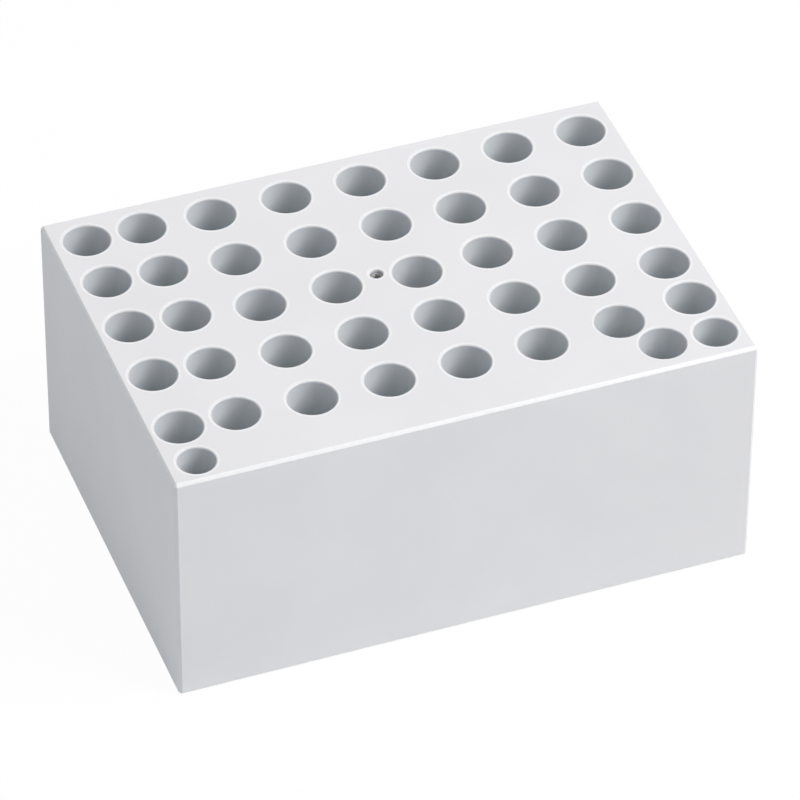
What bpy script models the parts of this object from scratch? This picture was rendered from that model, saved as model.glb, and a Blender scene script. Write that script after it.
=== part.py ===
"""Heating block for a dry bath: one solid aluminium block bored with wells for sample tubes.

Units are metres. +X runs to the right along the long front face, +Y runs to the back and
+Z is up. The origin is the middle of the underside, the face that lies on the hot plate.
"""

import math

import bmesh
import bpy

MM = 0.001

# The block
BLOCK_WIDTH = 132.0 * MM
BLOCK_DEPTH = 92.0 * MM
BLOCK_HEIGHT = 60.0 * MM
EDGE_CHAMFER = 0.7 * MM

# The tube wells: a straight bore, then a taper down to a flat tip
FIELD_BORE = 10.8 * MM
PAIR_BORE = 10.4 * MM
NOOK_BORE = 10.3 * MM
CORNER_BORE = 9.5 * MM
SMALL_BORE = 8.3 * MM
WELL_DEPTH = 38.0 * MM
WELL_STRAIGHT = 20.0 * MM
WELL_TIP = 4.0 * MM
SMALL_DEPTH = 29.0 * MM
SMALL_STRAIGHT = 15.0 * MM
SMALL_TIP = 3.0 * MM
MOUTH_CHAMFER = 0.35 * MM
WELL_SIDES = 20

# Metal left between the wells and the block's faces
LEFT_WALL = 1.85 * MM
RIGHT_WALL = 2.9 * MM
BACK_WALL = 3.9 * MM
PAIR_BACK_WALL = 3.4 * MM
FRONT_STRIP = 11.5 * MM
FRONT_WALL = 3.1 * MM
SMALL_FRONT_WALL = 2.1 * MM
CORNER_WALL = 2.2 * MM

# Metal left between one well and the next
PAIR_WEB = 2.3 * MM
PAIR_TO_FIELD_WEB = 6.15 * MM
FRONT_WEB = 2.1 * MM
NOOK_WEB = 1.1 * MM
CORNER_WEB = 2.3 * MM
LIFT_WEB = 2.0 * MM

# How many wells
ROWS = 5
FIELD_COLUMNS = 6

# The left pair: how much wider each gap is than the one behind it, how far its front wells sit
# behind the front row, and how much further in its back wells sit than its front ones
OUTER_GROWTH = 1.0 * MM
INNER_GROWTH = 0.6 * MM
PAIR_SETBACK = 0.8 * MM
PAIR_LEAN = 1.0 * MM

# Wells that leave the grid: to the right if a front well is in the way, to the front if the
# lifting hole is
FRONT_PUSH = 0.75 * MM
LIFT_DROP = 0.8 * MM

# The lifting hole and the steel thread insert in it
LIFT_X = -2.5 * MM
LIFT_Y = 5.1 * MM
LIFT_HOLE = 2.9 * MM
LIFT_DEPTH = 14.0 * MM
LIFT_SIDES = 16
INSERT_CLEARANCE = 0.1 * MM
INSERT_SINK = 0.8 * MM
INSERT_LENGTH = 7.5 * MM
INSERT_BORE = 1.9 * MM

# How far a cutter reaches past the face that it opens
CUT_PAST = 0.1 * MM


def clear_scene():
    for item in list(bpy.data.objects):
        bpy.data.objects.remove(item, do_unlink=True)


def make_collection(name):
    collection = bpy.data.collections.new(name)
    bpy.context.scene.collection.children.link(collection)
    return collection


def make_material(name, color, roughness, metallic):
    material = bpy.data.materials.new(name)
    material.use_nodes = True
    shader = material.node_tree.nodes["Principled BSDF"]
    shader.inputs["Base Color"].default_value = (*color, 1.0)
    shader.inputs["Roughness"].default_value = roughness
    shader.inputs["Metallic"].default_value = metallic
    return material


def add_object(name, mesh, collection, location=(0.0, 0.0, 0.0)):
    item = bpy.data.objects.new(name, mesh)
    item.location = location
    collection.objects.link(item)
    return item


def make_turned(name, profile, closed, sides, collection, location):
    """Turn a profile of (radius, height) points round Z."""
    mesh = bpy.data.meshes.new(name)
    shape = bmesh.new()
    points = [shape.verts.new((radius, 0.0, height)) for radius, height in profile]
    for start, end in zip(points, points[1:]):
        shape.edges.new((start, end))
    if closed:
        shape.edges.new((points[-1], points[0]))
    shape.to_mesh(mesh)
    shape.free()
    turned = add_object(name, mesh, collection, location)
    screw = turned.modifiers.new("Turn", "SCREW")
    screw.axis = "Z"
    screw.angle = math.tau
    screw.steps = sides
    screw.render_steps = sides
    screw.use_merge_vertices = True
    screw.merge_threshold = 0.00001
    return turned


def as_cutter(item):
    item.hide_render = True
    item.display_type = "WIRE"
    return item


def spread(first, last, count, growth=0.0):
    """Places from first to last, each gap wider than the one before it by growth."""
    way = math.copysign(1.0, last - first)
    mean = abs(last - first) / (count - 1)
    places = [first]
    for step in range(count - 1):
        gap = mean + growth * (step - (count - 2) / 2)
        places.append(places[-1] + way * gap)
    return places


def behind(x, y, bore, front_well, web):
    """Where a well sits: in its row, or to the right and back to leave a web to front_well."""
    front_x, front_y, front_bore = front_well
    reach = bore / 2 + front_bore / 2 + web
    if math.hypot(x - front_x, y - front_y) >= reach:
        return x, y
    x += FRONT_PUSH
    across = min(abs(x - front_x), reach)
    return x, max(y, front_y + math.sqrt(reach * reach - across * across))


def beside(x, y, bore, hole, web):
    """Where a well sits: in its place, or to the front and away from a hole to leave a web."""
    hole_x, hole_y, hole_bore = hole
    reach = bore / 2 + hole_bore / 2 + web
    if math.hypot(x - hole_x, y - hole_y) >= reach:
        return x, y
    y -= LIFT_DROP
    push = max(reach / math.hypot(x - hole_x, y - hole_y), 1.0)
    return hole_x + (x - hole_x) * push, hole_y + (y - hole_y) * push


def front_wells():
    """The three wells in the strip in front of the rows: small, nook and corner."""
    front = -BLOCK_DEPTH / 2
    small_y = front + SMALL_FRONT_WALL + SMALL_BORE / 2
    small_x = -BLOCK_WIDTH / 2 + LEFT_WALL + PAIR_BORE / 2
    corner_x = BLOCK_WIDTH / 2 - CORNER_WALL - CORNER_BORE / 2
    nook_x = corner_x - CORNER_BORE / 2 - FRONT_WEB - NOOK_BORE / 2
    return {
        "small": (small_x, small_y, SMALL_BORE),
        "nook": (nook_x, front + FRONT_WALL + NOOK_BORE / 2, NOOK_BORE),
        "corner": (corner_x, front + FRONT_WALL + CORNER_BORE / 2, CORNER_BORE),
    }


def pair_wells(front_y):
    """The two close columns at the left: they lean in and their gaps close up to the back."""
    back_y = BLOCK_DEPTH / 2 - PAIR_BACK_WALL - PAIR_BORE / 2
    outer_x = -BLOCK_WIDTH / 2 + LEFT_WALL + PAIR_BORE / 2
    inner_x = outer_x + PAIR_BORE + PAIR_WEB
    wells = []
    for x, growth in ((outer_x, OUTER_GROWTH), (inner_x, INNER_GROWTH)):
        rows = spread(back_y, front_y + PAIR_SETBACK, ROWS, growth)
        for y in rows:
            lean = PAIR_LEAN * (y - rows[-1]) / (rows[0] - rows[-1])
            wells.append((x + lean, y, PAIR_BORE))
    return wells


def field_wells(front_y, extra):
    """The main field of rows and columns, with three wells moved to keep their webs."""
    back_y = BLOCK_DEPTH / 2 - BACK_WALL - FIELD_BORE / 2
    pair_edge = -BLOCK_WIDTH / 2 + LEFT_WALL + 2 * PAIR_BORE + PAIR_WEB
    first_x = pair_edge + PAIR_TO_FIELD_WEB + FIELD_BORE / 2
    last_x = BLOCK_WIDTH / 2 - RIGHT_WALL - FIELD_BORE / 2
    hole = (LIFT_X, LIFT_Y, LIFT_HOLE)
    wells = []
    for x in spread(first_x, last_x, FIELD_COLUMNS):
        for y in spread(back_y, front_y, ROWS):
            place = beside(x, y, FIELD_BORE, hole, LIFT_WEB)
            place = behind(*place, FIELD_BORE, extra["nook"], NOOK_WEB)
            place = behind(*place, FIELD_BORE, extra["corner"], CORNER_WEB)
            wells.append((*place, FIELD_BORE))
    return wells


def make_well_cutter(name, x, y, bore, small, collection):
    """A cutter for one well: flared mouth, straight bore, taper and flat tip."""
    depth = SMALL_DEPTH if small else WELL_DEPTH
    straight = SMALL_STRAIGHT if small else WELL_STRAIGHT
    tip = SMALL_TIP if small else WELL_TIP
    flare = bore / 2 + MOUTH_CHAMFER + CUT_PAST
    profile = [
        (0.0, CUT_PAST),
        (flare, CUT_PAST),
        (bore / 2, -MOUTH_CHAMFER),
        (bore / 2, -straight),
        (tip / 2, -depth),
        (0.0, -depth),
    ]
    place = (x, y, BLOCK_HEIGHT)
    return as_cutter(make_turned(name, profile, False, WELL_SIDES, collection, place))


def make_lift_cutter(collection):
    """A cutter for the lifting hole: countersunk mouth and straight bore."""
    flare = LIFT_HOLE / 2 + MOUTH_CHAMFER + CUT_PAST
    profile = [
        (0.0, CUT_PAST),
        (flare, CUT_PAST),
        (LIFT_HOLE / 2, -MOUTH_CHAMFER),
        (LIFT_HOLE / 2, -LIFT_DEPTH),
        (0.0, -LIFT_DEPTH),
    ]
    place = (LIFT_X, LIFT_Y, BLOCK_HEIGHT)
    return as_cutter(make_turned("lift_cutter", profile, False, LIFT_SIDES, collection, place))


def make_block(parts, cutters, material):
    """The block: a chamfered box with every well and the lifting hole cut from its top."""
    mesh = bpy.data.meshes.new("heating_block")
    shape = bmesh.new()
    bmesh.ops.create_cube(shape, size=1.0)
    bmesh.ops.scale(shape, vec=(BLOCK_WIDTH, BLOCK_DEPTH, BLOCK_HEIGHT), verts=shape.verts)
    bmesh.ops.translate(shape, vec=(0.0, 0.0, BLOCK_HEIGHT / 2), verts=shape.verts)
    shape.to_mesh(mesh)
    shape.free()
    mesh.materials.append(material)
    block = add_object("heating_block", mesh, parts)
    bevel = block.modifiers.new("Edge chamfer", "BEVEL")
    bevel.width = EDGE_CHAMFER
    bevel.segments = 1
    cut = block.modifiers.new("Wells", "BOOLEAN")
    cut.operation = "DIFFERENCE"
    cut.operand_type = "COLLECTION"
    cut.collection = cutters
    cut.solver = "EXACT"
    return block


def make_insert(parts, material):
    """The thread insert: a steel sleeve sunk just below the mouth of the lifting hole."""
    outer = LIFT_HOLE / 2 - INSERT_CLEARANCE
    inner = INSERT_BORE / 2
    top = -INSERT_SINK
    bottom = top - INSERT_LENGTH
    profile = [(inner, top), (outer, top), (outer, bottom), (inner, bottom)]
    place = (LIFT_X, LIFT_Y, BLOCK_HEIGHT)
    insert = make_turned("lifting_thread_insert", profile, True, LIFT_SIDES, parts, place)
    insert.data.materials.append(material)
    return insert


def main():
    clear_scene()
    parts = make_collection("heating_block_assembly")
    cutters = make_collection("cutters")

    front_y = -BLOCK_DEPTH / 2 + FRONT_STRIP + FIELD_BORE / 2
    extra = front_wells()
    wells = field_wells(front_y, extra)
    wells += pair_wells(front_y)
    wells += [extra["nook"], extra["corner"]]
    for number, (x, y, bore) in enumerate(wells, start=1):
        make_well_cutter(f"well_cutter_{number}", x, y, bore, False, cutters)
    make_well_cutter("small_well_cutter", *extra["small"], True, cutters)
    make_lift_cutter(cutters)

    aluminium = make_material("anodised_aluminium", (0.80, 0.81, 0.83), 0.5, 1.0)
    steel = make_material("stainless_steel", (0.52, 0.51, 0.50), 0.35, 1.0)
    make_block(parts, cutters, aluminium)
    make_insert(parts, steel)

    print(f"{len(wells) + 1} wells")
    for x, y, bore in wells:
        print(f"well at x {x / MM:7.2f}, y {y / MM:7.2f} mm, bore {bore / MM:.1f} mm")


main()
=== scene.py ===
# %% [markdown]
# The looks of a heating block for a dry bath
#
# The object is one solid block of aluminium. Rows of wells are bored into its top, and each well
# takes a sample tube. A small threaded hole near the middle is for a lifting tool. The imported model
# already has every size, so this lesson adds only what that model is too plain to show: round wells,
# softened edges, a blasted and anodised skin, a bright rim and rubbed mouths that are partly wear and
# partly painted highlight, painted shade deep in the wells, and a real thread.

import math

import bmesh
import bpy
from mathutils import Euler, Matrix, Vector
from mathutils.geometry import delaunay_2d_cdt


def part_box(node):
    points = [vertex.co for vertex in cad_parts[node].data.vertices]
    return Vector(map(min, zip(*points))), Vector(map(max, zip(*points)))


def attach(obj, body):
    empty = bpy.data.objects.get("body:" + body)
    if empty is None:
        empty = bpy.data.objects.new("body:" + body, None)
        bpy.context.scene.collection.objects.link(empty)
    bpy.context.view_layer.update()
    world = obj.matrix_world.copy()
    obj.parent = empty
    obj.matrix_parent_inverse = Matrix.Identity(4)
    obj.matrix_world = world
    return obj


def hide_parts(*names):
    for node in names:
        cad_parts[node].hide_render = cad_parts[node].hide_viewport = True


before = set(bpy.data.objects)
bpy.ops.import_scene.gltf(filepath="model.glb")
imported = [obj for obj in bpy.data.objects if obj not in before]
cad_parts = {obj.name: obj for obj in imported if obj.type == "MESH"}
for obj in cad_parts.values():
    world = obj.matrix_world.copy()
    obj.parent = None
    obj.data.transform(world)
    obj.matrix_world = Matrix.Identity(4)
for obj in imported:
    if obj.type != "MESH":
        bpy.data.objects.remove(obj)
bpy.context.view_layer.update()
MM = 0.001
print("packed nodes:", sorted(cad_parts))

# %% [markdown]
# The camera stands where the photographer stood: at the front left of the block, well above it and
# far away. The lens is a long one, because the upright edges lean in by only a few pixels. A camera
# can be pushed into place by hand, but then its place is hard to correct. Here it is set by an
# angle round the block, an angle above the bench and a distance, and it aims at a point just in
# front of the block's middle. The lens makes the block as wide in the frame as it is in the
# photograph.

# %% Place the camera
VIEW_TURN = math.radians(-20.57)
VIEW_RISE = math.radians(40.64)
VIEW_ROLL = math.radians(-0.39)
VIEW_DISTANCE = 1295.5 * MM
VIEW_AIM = Vector((0.0, -3.4, 30.0)) * MM
LENS_MM = 265.94
SENSOR_MM = 36.0


def make_camera():
    """A camera at the view's angles and distance, which looks at the aim."""
    towards = Vector(
        (
            math.sin(VIEW_TURN) * math.cos(VIEW_RISE),
            -math.cos(VIEW_TURN) * math.cos(VIEW_RISE),
            math.sin(VIEW_RISE),
        )
    )
    data = bpy.data.cameras.new("photo_camera")
    data.lens = LENS_MM
    data.sensor_width = SENSOR_MM
    camera = bpy.data.objects.new("photo_camera", data)
    camera.location = VIEW_AIM + towards * VIEW_DISTANCE
    aim = (-towards).to_track_quat("-Z", "Y")
    roll = Euler((0.0, 0.0, -VIEW_ROLL)).to_quaternion()
    camera.rotation_euler = (aim @ roll).to_euler()
    bpy.context.scene.collection.objects.link(camera)
    bpy.context.scene.camera = camera
    return camera


camera = make_camera()
print("camera at", [round(value, 3) for value in camera.location], "m")

# %% [markdown]
# The wells are what the block is for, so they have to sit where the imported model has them. Their
# places could be typed in again, but a second list goes wrong as soon as the layout changes. So
# they are read from the model. Each well leaves a ring of corners at the same height just inside
# its mouth, and the points that share edges at that height belong to one ring. The middle of a ring
# is the axis of the well, and its reach is the radius. The lifting hole is found in the same way.

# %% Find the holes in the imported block
MOUTH_CHAMFER = 0.35 * MM
SAME_HEIGHT = 0.02 * MM
SAME_PLACE = 0.0001 * MM


def walk_ring(start, waiting):
    """The waiting points that can be reached from one point along mesh edges."""
    waiting.remove(start)
    ring = [start]
    for vert in ring:
        for edge in vert.link_edges:
            other = edge.other_vert(vert)
            if other in waiting:
                waiting.remove(other)
                ring.append(other)
    return ring


def find_rings(node, height):
    """The rings of mesh edges that lie at one height, as (middle, radius) pairs."""
    shape = bmesh.new()
    shape.from_mesh(node.data)
    bmesh.ops.remove_doubles(shape, verts=shape.verts, dist=SAME_PLACE)
    level = [vert for vert in shape.verts if abs(vert.co.z - height) < SAME_HEIGHT]
    waiting = set(level)
    rings = []
    for start in level:
        if start in waiting:
            ring = walk_ring(start, waiting)
            middle = sum((vert.co for vert in ring), Vector()) / len(ring)
            radius = max((vert.co.xy - middle.xy).length for vert in ring)
            rings.append((middle, radius))
    shape.free()
    return rings


low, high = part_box("heating_block")
top_z = high[2]
holes = find_rings(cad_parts["heating_block"], top_z - MOUTH_CHAMFER)
holes.sort(key=lambda hole: (hole[0].x, hole[0].y))
print(len(holes), "round holes found")
print("radii in mm:", sorted({round(radius / MM, 2) for _, radius in holes}))

# %% [markdown]
# The real block is milled from one bar and its wells are bored. Then it is bead blasted and
# anodised, and the rim of its top is cut last. So its faces are dead flat, its edges are broken by
# a narrow chamfer, and every well has a clean lip. A Boolean could cut the wells out of a box, but
# it leaves long thin faces that shade badly. So the mesh is laid out in steps, from the box to the
# tips of the wells. The first step is the box: a bevel breaks its edges, and its flat top is taken
# off, to be filled again round the wells. A bevel profile of 0.25 is flat and one of 0.5 is round,
# and the block's is just off flat, because blasting softens a cut edge. Each face also gets the
# number of its finish: the skin, the rim, the rubbed rings, the lips or the walls.

# %% Chamfer the box
EDGE_CHAMFER = 0.7 * MM
EDGE_STEPS = 4
EDGE_PROFILE = 0.3
BOX_SIDES = 6
SKIN, RIM, RUB, LIP, WALL = range(5)


def chamfer_box(shape):
    """Make a box of the block's size with chamfered edges; returns its flat top."""
    bmesh.ops.create_cube(shape, size=1.0)
    size = Vector(high) - Vector(low)
    bmesh.ops.scale(shape, vec=size, verts=shape.verts)
    bmesh.ops.translate(shape, vec=(Vector(high) + Vector(low)) / 2, verts=shape.verts)
    bmesh.ops.bevel(
        shape,
        geom=shape.edges[:],
        offset=EDGE_CHAMFER,
        offset_type="OFFSET",
        segments=EDGE_STEPS,
        profile=EDGE_PROFILE,
        affect="EDGES",
    )
    sides = sorted(shape.faces, key=lambda face: face.calc_area())[-BOX_SIDES:]
    rim_foot = top_z - EDGE_CHAMFER - SAME_HEIGHT
    for face in shape.faces:
        face.smooth = face not in sides
        on_rim = min(vert.co.z for vert in face.verts) > rim_foot
        face.material_index = RIM if face.smooth and on_rim else SKIN
    return max(sides, key=lambda face: face.calc_center_median().z)


block_shape = bmesh.new()
flat_top = chamfer_box(block_shape)
top_edge = [corner.vert for corner in flat_top.loops]
bmesh.ops.delete(block_shape, geom=[flat_top], context="FACES_ONLY")
print("chamfered box:", len(block_shape.faces), "faces without its top")

# %% [markdown]
# Tubes and fingers rub the skin thin round the mouth of each well, and the narrow ring there is
# painted bright. This is partly that wear and partly a painted highlight. Each ring needs an edge of
# its own in the mesh, so its outer circle is laid on the top first. The ring is equally wide at every
# well, apart from wells that stand so close together that the metal between them leaves less room.

# %% Lay a circle round each mouth
WELL_POINTS = 64
RUB_WIDTH = 0.36 * MM
RUB_GAP = 0.1 * MM


def add_ring(shape, middle, radii, height):
    """A closed ring of new points, one for each radius, anticlockwise from +X."""
    points = []
    for step, radius in enumerate(radii):
        turn = math.tau * step / len(radii)
        x = middle.x + radius * math.cos(turn)
        y = middle.y + radius * math.sin(turn)
        points.append(shape.verts.new((x, y, height)))
    return points


def rub_width(middle, radius):
    """How wide the rubbed ring of one hole can be before it meets a neighbour's ring."""
    webs = [
        (middle - other).length - radius - reach
        for other, reach in holes
        if (middle - other).length > SAME_PLACE
    ]
    return min(RUB_WIDTH, (min(webs) - RUB_GAP) / 2 - MOUTH_CHAMFER)


outlines = []
for middle, radius in holes:
    reach = radius + MOUTH_CHAMFER + rub_width(middle, radius)
    outlines.append(add_ring(block_shape, middle, [reach] * WELL_POINTS, top_z))
narrowest = min(rub_width(middle, radius) for middle, radius in holes)
print("rubbed rings from", round(narrowest / MM, 2), "to", round(RUB_WIDTH / MM, 2), "mm wide")

# %% [markdown]
# The flat top is what remains between the circles. One big face cannot have holes in it, and faces
# drawn by hand would take all day, so a Delaunay fill joins the edge of the top and the circles
# with triangles that are as even as they can be. It fills the circles too. A triangle inside a
# circle has all its corners on that one circle, which makes it easy to leave out.

# %% Fill the top between the circles
KEEP_ALL_TRIANGLES = 0


def fill_between(shape, loops):
    """Triangles between several loops of points; returns how many were made."""
    points, sides, owners = [], [], []
    for number, loop in enumerate(loops):
        first = len(points)
        count = len(loop)
        sides += [(first + step, first + (step + 1) % count) for step in range(count)]
        points += loop
        owners += [number] * count
    places = [point.co.xy for point in points]
    filled = delaunay_2d_cdt(places, sides, [], KEEP_ALL_TRIANGLES, SAME_PLACE)
    _, _, triangles, origins, _, _ = filled
    made = 0
    for triangle in triangles:
        corners = [origins[corner][0] for corner in triangle]
        if len({owners[corner] for corner in corners}) > 1:
            shape.faces.new([points[corner] for corner in corners])
            made += 1
    return made


print("flat top:", fill_between(block_shape, [top_edge] + outlines), "triangles")

# %% [markdown]
# The depth of a well follows its width. The wide wells take long tubes, and the narrow one at the
# front left takes a short tube, so each kind has its own straight length, depth and flat tip. The
# hole for the lifting tool is drilled straight. A test of the radius sorts them, so that a well
# that is moved keeps its depth.

# %% Sort the holes by kind
SMALL_WELL = 4.5 * MM
LIFT_HOLE = 2.0 * MM
LONG_TUBE = {"straight": 20.0 * MM, "depth": 38.0 * MM, "tip": 2.0 * MM}
SHORT_TUBE = {"straight": 15.0 * MM, "depth": 29.0 * MM, "tip": 1.5 * MM}
LIFT_TOOL = {"straight": 13.9 * MM, "depth": 14.0 * MM, "tip": 1.3 * MM}


def hole_kind(radius):
    """The lengths of a hole, by its radius."""
    if radius < LIFT_HOLE:
        return LIFT_TOOL
    return SHORT_TUBE if radius < SMALL_WELL else LONG_TUBE


kinds = [hole_kind(radius) for _, radius in holes]
print(kinds.count(LONG_TUBE), "wells for long tubes and", kinds.count(SHORT_TUBE), "for short ones")
print(kinds.count(LIFT_TOOL), "hole for a lifting tool")

# %% [markdown]
# A profile could be spun round the axis of each well, but that would make a separate shell that
# only touches the top. Here each well starts from the points of its own circle, so the block stays
# one closed skin. Ring by ring, the mesh runs in over the rubbed ring, round the lip, and down the
# straight bore and the taper to the tip. The circles that have to stay crisp are noted for later.

# %% Run the wells down
LIP_STEPS = 4
ML = 1000 * MM**3


def bridge(shape, upper, lower, finish):
    """Faces between two rings, looking in to the rings' axis."""
    count = len(upper)
    for step in range(count):
        after = (step + 1) % count
        face = shape.faces.new((upper[step], upper[after], lower[after], lower[step]))
        face.smooth = True
        face.material_index = finish


def ring_edges(shape, ring):
    """The edges from each point of a ring to the next."""
    return [shape.edges.get(pair) for pair in zip(ring, ring[1:] + ring[:1])]


def add_well(shape, outline, middle, radius):
    """Run the mesh from a circle on the top to the tip; returns the edges that stay crisp."""
    kind = hole_kind(radius)
    upper = add_ring(shape, middle, [radius + MOUTH_CHAMFER] * WELL_POINTS, top_z)
    bridge(shape, outline, upper, RUB)
    for step in range(1, LIP_STEPS + 1):
        turn = math.pi / 2 * step / LIP_STEPS
        reach = radius + MOUTH_CHAMFER * (1 - math.sin(turn))
        height = top_z - MOUTH_CHAMFER * (1 - math.cos(turn))
        lower = add_ring(shape, middle, [reach] * WELL_POINTS, height)
        bridge(shape, upper, lower, LIP)
        upper = lower
    crisp = ring_edges(shape, outline) + ring_edges(shape, upper)
    for reach, depth in ((radius, kind["straight"]), (kind["tip"], kind["depth"])):
        lower = add_ring(shape, middle, [reach] * WELL_POINTS, top_z - depth)
        bridge(shape, upper, lower, WALL)
        crisp += ring_edges(shape, lower)
        upper = lower
    tip = shape.faces.new(upper)
    tip.material_index = WALL
    return crisp


crisp_edges = []
for outline, (middle, radius) in zip(outlines, holes):
    crisp_edges += add_well(block_shape, outline, middle, radius)
block_shape.normal_update()
print("block volume in ml:", round(block_shape.calc_volume(signed=True) / ML, 2))

# %% [markdown]
# Milling leaves flat faces with crisp borders, and blasting rounds what lies between them. Blender
# shades a face flat or round by its edges. It can choose them by their angle alone, but that misses
# one place: if a long chamfer shared its shading with the round corner at its end, its light would
# drift from one end to the other, and on the real block it is even. So the edges are marked here by
# three tests: a border of a flat face, the end of a long face, and a steep turn. A mesh also has an
# order, and after a bevel it can differ from run to run. Sorted by place, it is always the same.

# %% Shade the edges and make the block
SHARP_TURN = math.radians(40)
LONG_FACE = 4 * EDGE_CHAMFER


def is_long(face):
    """Whether a face is one of the long strips of a chamfer, or bigger."""
    return max(edge.calc_length() for edge in face.edges) > LONG_FACE


def shade_edges(shape, crisp):
    """Mark each edge of the block as crisp or round."""
    for edge in shape.edges:
        first, second = edge.link_faces
        flat = not (first.smooth and second.smooth)
        ends = is_long(first) != is_long(second)
        steep = edge.calc_face_angle() > SHARP_TURN
        edge.smooth = not (flat or ends or steep)
    for edge in crisp:
        edge.smooth = False


def put_in_order(shape):
    """Sort the points, edges and faces by place, so that every run gives the same mesh."""
    for parts, place in (
        (shape.verts, lambda vert: vert.co[:]),
        (shape.edges, lambda edge: (edge.verts[0].co + edge.verts[1].co)[:]),
        (shape.faces, lambda face: face.calc_center_median()[:]),
    ):
        order = {part: number for number, part in enumerate(sorted(parts, key=place))}
        parts.sort(key=order.get)


def make_object(name, shape):
    """Put a finished mesh into the scene as an object."""
    put_in_order(shape)
    open_edges = sum(1 for edge in shape.edges if len(edge.link_faces) != 2)
    print(name, "has", len(shape.faces), "faces and", open_edges, "open edges")
    mesh = bpy.data.meshes.new(name)
    shape.to_mesh(mesh)
    shape.free()
    piece = bpy.data.objects.new(name, mesh)
    bpy.context.scene.collection.objects.link(piece)
    return piece


shade_edges(block_shape, crisp_edges)
block = make_object("block", block_shape)
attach(block, "root")
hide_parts("heating_block")

# %% [markdown]
# A steel thread in soft aluminium is a coil of wire, wound into the hole so that its inner edge
# makes the thread. A profile turned on a lathe cannot show it, because a thread is not the same all
# the way round. So the coil is a sleeve whose inner wall is a true helix: each point of the wall is
# pushed in or out by how far it is along the thread. The size of the sleeve comes from the packed
# model.

# %% Make the thread insert
THREAD_PITCH = 0.45 * MM
THREAD_DEPTH = 0.22 * MM
THREAD_WALL = 0.18 * MM
TURN_POINTS = 40
PITCH_POINTS = 8
STEEL = 0


def thread_radius(minor, turn, height):
    """Radius of the inner wall: a ridge at whole turns and a groove between them."""
    along = (height / THREAD_PITCH - turn / math.tau) % 1.0
    return minor + THREAD_DEPTH * (1 - abs(2 * along - 1))


def thread_sleeve(shape, base, crown):
    """A closed sleeve between two corners of its box, threaded inside."""
    middle = (base + crown) / 2
    outer = (crown.x - base.x) / 2
    minor = outer - THREAD_DEPTH - THREAD_WALL
    length = crown.z - base.z
    levels = int(length / THREAD_PITCH * PITCH_POINTS)
    turns = [math.tau * step / TURN_POINTS for step in range(TURN_POINTS)]
    inside = []
    for level in range(levels + 1):
        height = base.z + length * level / levels
        radii = [thread_radius(minor, turn, height - base.z) for turn in turns]
        inside.append(add_ring(shape, middle, radii, height))
    for lower, upper in zip(inside, inside[1:]):
        bridge(shape, upper, lower, STEEL)
    bottom = add_ring(shape, middle, [outer] * TURN_POINTS, base.z)
    top = add_ring(shape, middle, [outer] * TURN_POINTS, crown.z)
    bridge(shape, bottom, top, STEEL)
    bridge(shape, top, inside[-1], STEEL)
    bridge(shape, inside[0], bottom, STEEL)
    shape.normal_update()


insert_shape = bmesh.new()
insert_low, insert_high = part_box("lifting_thread_insert")
thread_sleeve(insert_shape, Vector(insert_low), Vector(insert_high))
for edge in insert_shape.edges:
    edge.smooth = edge.calc_face_angle() < SHARP_TURN
print("insert volume in mm3:", round(insert_shape.calc_volume(signed=True) / MM**3, 2))
insert = make_object("thread_insert", insert_shape)
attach(insert, "root")
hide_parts("lifting_thread_insert")

# %% [markdown]
# The block is one metal with several finishes, and the first is the skin. Bead blasting leaves tiny
# dents and anodising seals them, so the skin is pale and matte and shines little. A picture of
# metal could be wrapped round the mesh, but it would stretch on the chamfers and blur up close.
# Noise that is laid out in the object's own space keeps its scale on every face. A finish starts as
# a material with one shader, whose own sockets hold how metallic and how rough it is.

# %% Start the skin
SKIN_METAL = 0.12
SKIN_ROUGH = 0.62


def new_finish(name, metal, rough):
    """A new material, and the shader that gives it its surface."""
    material = bpy.data.materials.new(name)
    material.use_nodes = True
    shader = material.node_tree.nodes["Principled BSDF"]
    shader.inputs["Metallic"].default_value = metal
    shader.inputs["Roughness"].default_value = rough
    print(name, "has metal", metal, "and roughness", rough)
    return material, shader


blasted_skin, skin_shader = new_finish("blasted_skin", SKIN_METAL, SKIN_ROUGH)

# %% [markdown]
# No skin is one flat colour. The tone of this one drifts a little from place to place, as the
# blasting and the anodising bath leave it. A noise with large patches runs through a ramp of two
# close tones, and the ramp feeds the colour of the shader. Scale counts the patches in a metre, so
# these are some 20 mm across.

# %% Tone of the skin
SKIN_CLOUDS = {"Scale": 45.0, "Detail": 3.0, "Roughness": 0.5}
SKIN_TONES = [(0.35, (0.785, 0.786, 0.799)), (0.65, (0.806, 0.806, 0.817))]


def add_node(tree, kind, **settings):
    """A new node, with its sockets and properties set by name."""
    node = tree.nodes.new(kind)
    for key, value in settings.items():
        if key in node.inputs:
            node.inputs[key].default_value = value
        else:
            setattr(node, key, value)
    return node


def add_noise(tree, settings):
    """A noise that is laid out in the object's own space."""
    place = add_node(tree, "ShaderNodeTexCoord")
    noise = add_node(tree, "ShaderNodeTexNoise", **settings)
    tree.links.new(place.outputs["Object"], noise.inputs["Vector"])
    return noise


def add_ramp(tree, tones):
    """A ramp of two tones, each with its place on the ramp."""
    ramp = add_node(tree, "ShaderNodeValToRGB")
    for element, (place, color) in zip(ramp.color_ramp.elements, tones):
        element.position = place
        element.color = (*color, 1.0)
    return ramp


def tone_by_noise(material, shader, settings, tones):
    """Let a noise choose the colour of a finish between two tones."""
    tree = material.node_tree
    noise = add_noise(tree, settings)
    ramp = add_ramp(tree, tones)
    tree.links.new(noise.outputs["Fac"], ramp.inputs["Fac"])
    tree.links.new(ramp.outputs["Color"], shader.inputs["Base Color"])
    print(material.name, "runs from", tones[0][1], "to", tones[1][1])


tone_by_noise(blasted_skin, skin_shader, SKIN_CLOUDS, SKIN_TONES)

# %% [markdown]
# The beads leave dents far smaller than a millimetre, and they are why the skin is matte. Dents
# this small would need millions of faces, so a bump node tilts the light over a fine noise instead.
# Its height is a real one, in hundredths of a millimetre.

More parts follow.
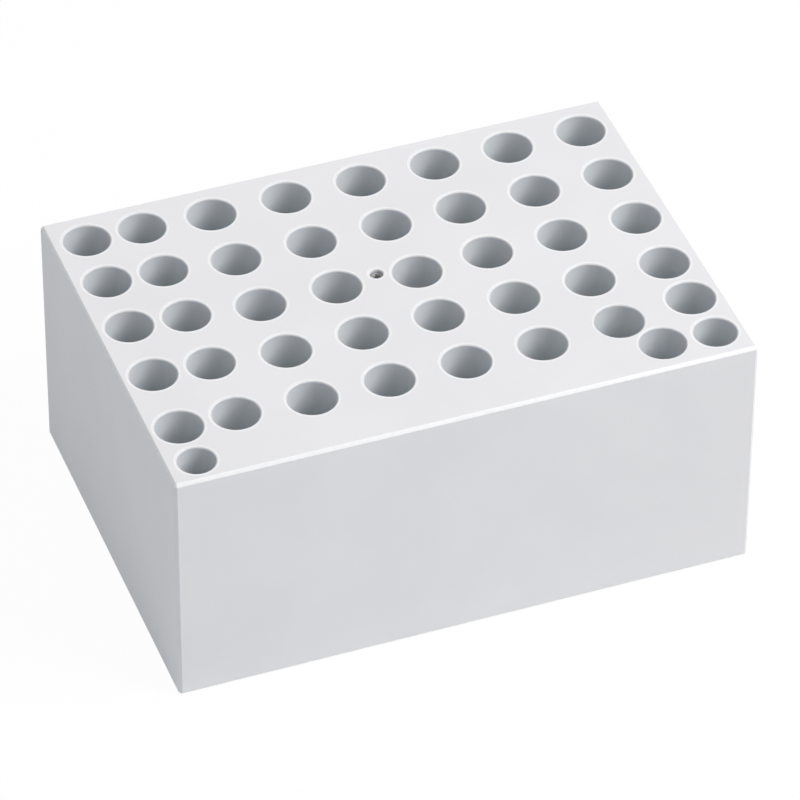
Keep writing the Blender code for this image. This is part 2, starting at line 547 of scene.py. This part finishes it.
# %% Dents in the skin
SKIN_GRAIN = {"Scale": 2600.0, "Detail": 2.0, "Roughness": 0.6}
SKIN_DENTS = {"Strength": 0.12, "Distance": 0.04 * MM}


def bump_by(material, shader, height, settings):
    """Let the height of a texture tilt the surface of a finish."""
    tree = material.node_tree
    bump = add_node(tree, "ShaderNodeBump", **settings)
    tree.links.new(height, bump.inputs["Height"])
    tree.links.new(bump.outputs["Normal"], shader.inputs["Normal"])
    print(material.name, "is bumped by", round(settings["Distance"] / MM, 3), "mm")


skin_grain = add_noise(blasted_skin.node_tree, SKIN_GRAIN)
bump_by(blasted_skin, skin_shader, skin_grain.outputs["Fac"], SKIN_DENTS)

# %% [markdown]
# The walls of the wells are bored, and the boring tool leaves rings about half a millimetre apart. A
# wall is painted palest at the lip and greyer further down. This is painted shade, standing for the
# light that falls off deeper in the well. The grey could be left to the real shadow in the well, but
# the photograph shows a cooler tone there than on the top. So the height of each point picks a tone
# from a ramp that holds both the cool tone and the painted shade, and a wave along Z darkens it in
# rings.

# %% Tone of the walls
WALL_METAL = 0.1
WALL_ROUGH = 0.5
# The wall tones hold the cool colour of the walls and painted shade that darkens them deeper down.
WALL_TONES_AND_SHADE = [(0.0, (0.71, 0.742, 0.768)), (1.0, (0.785, 0.812, 0.838))]
WALL_SHADE_FADE = 14.0 * MM
WALL_RINGS = {"wave_type": "BANDS", "bands_direction": "Z", "Scale": 700.0}
RING_WANDER = {"Distortion": 1.2, "Detail": 1.0}
RING_SHADE = 0.08


def painted_shade_by_depth(tree, place):
    """Painted shade: a ramp of the wall's tones that grows darker deeper below the top."""
    parts = add_node(tree, "ShaderNodeSeparateXYZ")
    depth = add_node(tree, "ShaderNodeMapRange")
    depth.inputs["From Min"].default_value = top_z - WALL_SHADE_FADE
    depth.inputs["From Max"].default_value = top_z
    ramp = add_ramp(tree, WALL_TONES_AND_SHADE)
    tree.links.new(place.outputs["Object"], parts.inputs["Vector"])
    tree.links.new(parts.outputs["Z"], depth.inputs["Value"])
    tree.links.new(depth.outputs["Result"], ramp.inputs["Fac"])
    return ramp


def tone_and_shade_walls(material, shader):
    """Colour the walls with painted shade by depth and with rings; returns the node of the rings."""
    tree = material.node_tree
    place = add_node(tree, "ShaderNodeTexCoord")
    ramp = painted_shade_by_depth(tree, place)
    rings = add_node(tree, "ShaderNodeTexWave", **WALL_RINGS, **RING_WANDER)
    shade = add_node(tree, "ShaderNodeMix", data_type="RGBA", blend_type="MULTIPLY")
    shade.inputs["Factor"].default_value = RING_SHADE
    tree.links.new(place.outputs["Object"], rings.inputs["Vector"])
    tree.links.new(ramp.outputs["Color"], shade.inputs["A"])
    tree.links.new(rings.outputs["Color"], shade.inputs["B"])
    tree.links.new(shade.outputs["Result"], shader.inputs["Base Color"])
    return rings


# The walls get painted shade, darker deeper in each well.
bored_wall, wall_shader = new_finish("bored_wall", WALL_METAL, WALL_ROUGH)
wall_rings = tone_and_shade_walls(bored_wall, wall_shader)
print("walls fade over", round(WALL_SHADE_FADE / MM, 1), "mm below the top")

# %% [markdown]
# The rings are also real steps in the wall, though shallow ones. Modelled steps would take many
# thousands of faces in each well, so the wave that shades the rings bumps them too.

# %% Rings in the walls
WALL_MARKS = {"Strength": 0.06, "Distance": 0.03 * MM}

bump_by(bored_wall, wall_shader, wall_rings.outputs["Fac"], WALL_MARKS)

# %% [markdown]
# Three narrow places differ from the skin. The rim of the top is taken as cut after anodising, and it
# is painted paler than the skin. This is partly bare worn metal that shows as a bright line, and
# partly a painted highlight along the edge. On the flat ring round each mouth the skin is rubbed
# thin, and the ring is painted paler still, again partly wear and partly painted highlight. The
# rounded lip inside that ring is duller, which keeps the painted bright ring evenly wide all round.
# Three materials made by hand would drift apart, so one function makes them from three sets of tones,
# with a noise for the small nicks.

# %% Bright rim, rubbed rings and dull lips
CUT_METAL = 0.1
CUT_ROUGH = 0.6
CUT_NICKS = {"Scale": 900.0, "Detail": 2.0}
# The rim tones are paler than the skin: partly worn metal, partly a painted highlight.
RIM_TONES_AND_HIGHLIGHT = [(0.3, (0.84, 0.84, 0.845)), (0.6, (0.88, 0.88, 0.88))]
# The rubbed ring tones are paler still: partly wear, partly a painted highlight.
RUB_TONES_AND_HIGHLIGHT = [(0.3, (0.87, 0.87, 0.875)), (0.6, (0.90, 0.90, 0.905))]
LIP_TONES = [(0.3, (0.77, 0.77, 0.78)), (0.6, (0.81, 0.81, 0.82))]


def make_cut(name, tones):
    """The finish of a narrow place that is cut or rubbed; the tones of the rim and the rubbed ring
    also hold a painted highlight.
    """
    material, shader = new_finish(name, CUT_METAL, CUT_ROUGH)
    tone_by_noise(material, shader, CUT_NICKS, tones)
    return material


worn_rim_and_highlight = make_cut("worn_rim_and_highlight", RIM_TONES_AND_HIGHLIGHT)
# The rubbed ring carries a painted highlight as well as wear.
rubbed_ring_and_highlight = make_cut("rubbed_ring_and_highlight", RUB_TONES_AND_HIGHLIGHT)
dull_lip = make_cut("dull_lip", LIP_TONES)

# %% [markdown]
# The coil of the insert is drawn from steel wire. It is far more metallic than the anodised block,
# and a darker, warmer grey. Drawing leaves fine streaks, but in a hole this small they are too fine
# to see, so a noise between two greys is enough.

# %% Drawn steel of the thread
STEEL_METAL = 0.8
STEEL_ROUGH = 0.6
STEEL_GRAIN = {"Scale": 1500.0, "Detail": 3.0}
STEEL_TONES = [(0.3, (0.30, 0.295, 0.29)), (0.7, (0.40, 0.39, 0.385))]

thread_steel, steel_shader = new_finish("thread_steel", STEEL_METAL, STEEL_ROUGH)
tone_by_noise(thread_steel, steel_shader, STEEL_GRAIN, STEEL_TONES)

# %% [markdown]
# On the real block the finishes lie side by side on one piece of metal. The block could be split
# into a piece for each finish, but then its seams would show. Instead each face already has the
# number of its finish, and the materials only have to be put on in the order of those numbers.

# %% Put the finishes on
block_finishes = {
    SKIN: blasted_skin,
    RIM: worn_rim_and_highlight,
    RUB: rubbed_ring_and_highlight,
    LIP: dull_lip,
    WALL: bored_wall,
}
for number in sorted(block_finishes):
    block.data.materials.append(block_finishes[number])
insert.data.materials.append(thread_steel)
print("block finishes:", [slot.material.name for slot in block.material_slots])

# %% [markdown]
# The photograph has a plain white ground with hardly any shadow. A white floor lit by lamps turns
# grey away from them, and brighter lamps would burn out the block. So for the camera the floor is
# mostly white by itself, with a small share of its real shading, which keeps a soft shadow under
# the block. Mirrored rays and rays through glass see the same white. All other rays meet a pale
# sheet, which throws some light back on the block.

# %% Make the floor
FLOOR_SIZE = 6.0
FLOOR_DROP = 0.05 * MM
FLOOR_TONE = (0.8, 0.8, 0.8, 1.0)
FLOOR_METAL = 0.0
FLOOR_ROUGH = 0.9
FLOOR_SHINE = 0.0
FLOOR_WHITE = 0.945
FLOOR_GLOW = 1.014


def seen_directly(tree):
    """A socket that is 1 for rays from the camera, mirrored rays and rays through glass."""
    path = add_node(tree, "ShaderNodeLightPath")
    seen = path.outputs["Is Camera Ray"]
    for kind in ("Is Glossy Ray", "Is Transmission Ray"):
        either = add_node(tree, "ShaderNodeMath", operation="MAXIMUM")
        tree.links.new(seen, either.inputs[0])
        tree.links.new(path.outputs[kind], either.inputs[1])
        seen = either.outputs["Value"]
    return seen


def make_floor_finish():
    """A pale matte sheet that is mostly white by itself where it is seen directly."""
    material, shader = new_finish("pale_floor", FLOOR_METAL, FLOOR_ROUGH)
    shader.inputs["Base Color"].default_value = FLOOR_TONE
    shader.inputs["Specular IOR Level"].default_value = FLOOR_SHINE
    tree = material.node_tree
    white = add_node(tree, "ShaderNodeEmission", Strength=FLOOR_GLOW)
    share = add_node(tree, "ShaderNodeMath", operation="MULTIPLY")
    share.inputs[1].default_value = FLOOR_WHITE
    mix = add_node(tree, "ShaderNodeMixShader")
    tree.links.new(seen_directly(tree), share.inputs[0])
    tree.links.new(share.outputs["Value"], mix.inputs["Fac"])
    tree.links.new(shader.outputs["BSDF"], mix.inputs[1])
    tree.links.new(white.outputs["Emission"], mix.inputs[2])
    tree.links.new(mix.outputs["Shader"], tree.nodes["Material Output"].inputs["Surface"])
    return material


floor_shape = bmesh.new()
bmesh.ops.create_grid(floor_shape, x_segments=1, y_segments=1, size=FLOOR_SIZE / 2)
floor = make_object("floor", floor_shape)
floor.location.z = low[2] - FLOOR_DROP
floor.data.materials.append(make_floor_finish())
print("floor at", round(floor.location.z / MM, 2), "mm")

# %% [markdown]
# A white room lights the block a little from everywhere. A picture of a studio could stand for the
# room, but matte metal shows no picture in it, so one even tone is enough. Where the camera looks
# past the floor it sees plain white, like the ground.

# %% Make the sky
SKY_LEVEL = 0.306
SKY_COLOR = (1.0, 0.99, 1.02, 1.0)
SKY_SEEN = (1.0, 1.0, 1.0, 1.0)


def make_sky():
    """An even sky that is plain white where it is seen directly."""
    world = bpy.data.worlds.new("studio")
    world.use_nodes = True
    tree = world.node_tree
    sky = tree.nodes["Background"]
    sky.inputs["Color"].default_value = SKY_COLOR
    sky.inputs["Strength"].default_value = SKY_LEVEL
    white = add_node(tree, "ShaderNodeBackground", Color=SKY_SEEN)
    mix = add_node(tree, "ShaderNodeMixShader")
    tree.links.new(seen_directly(tree), mix.inputs["Fac"])
    tree.links.new(sky.outputs["Background"], mix.inputs[1])
    tree.links.new(white.outputs["Background"], mix.inputs[2])
    tree.links.new(mix.outputs["Shader"], tree.nodes["World Output"].inputs["Surface"])
    return world


bpy.context.scene.world = make_sky()
print("sky level", SKY_LEVEL)

# %% [markdown]
# In the photograph the top is brightest, the front is darker and the left side darkest, and the
# light falls on the left wall of each well. So the main lamp is high at the front right. A weaker
# one behind opens up the back, and a small cool one low at the left gives that side its bluish
# grey. A bare bulb would throw a hard shadow, which the photograph has none of, so every lamp is a
# disc.

# %% Make the lamps
LAMP_AIM = Vector((0.0, 0.0, 30.0)) * MM
WHITE = (1.0, 1.0, 1.0)
COOL = (0.72, 1.04, 1.25)
LAMPS = {
    "key_lamp": {"place": (0.84, -0.59, 1.025), "size": 0.9, "power": 15.9, "tint": WHITE},
    "back_lamp": {"place": (0.0, 0.95, 0.95), "size": 1.0, "power": 3.5, "tint": WHITE},
    "left_lamp": {"place": (-0.5, -0.25, 0.06), "size": 0.2, "power": 0.2, "tint": COOL},
}


def make_lamp(name, place, size, power, tint):
    """A round lamp that faces the middle of the block."""
    data = bpy.data.lights.new(name, "AREA")
    data.shape = "DISK"
    data.size = size
    data.energy = power
    data.color = tint
    lamp = bpy.data.objects.new(name, data)
    lamp.location = place
    aim = LAMP_AIM - lamp.location
    lamp.rotation_euler = aim.to_track_quat("-Z", "Y").to_euler()
    bpy.context.scene.collection.objects.link(lamp)
    print(name, "at", place, "m,", power, "W")


for name, settings in LAMPS.items():
    make_lamp(name, **settings)

# %% [markdown]
# The colours have to come out as written, so the view transform is the plain one: the filmic ones
# would grey the white ground.

# %% Finish
bpy.context.scene.view_settings.view_transform = "Standard"
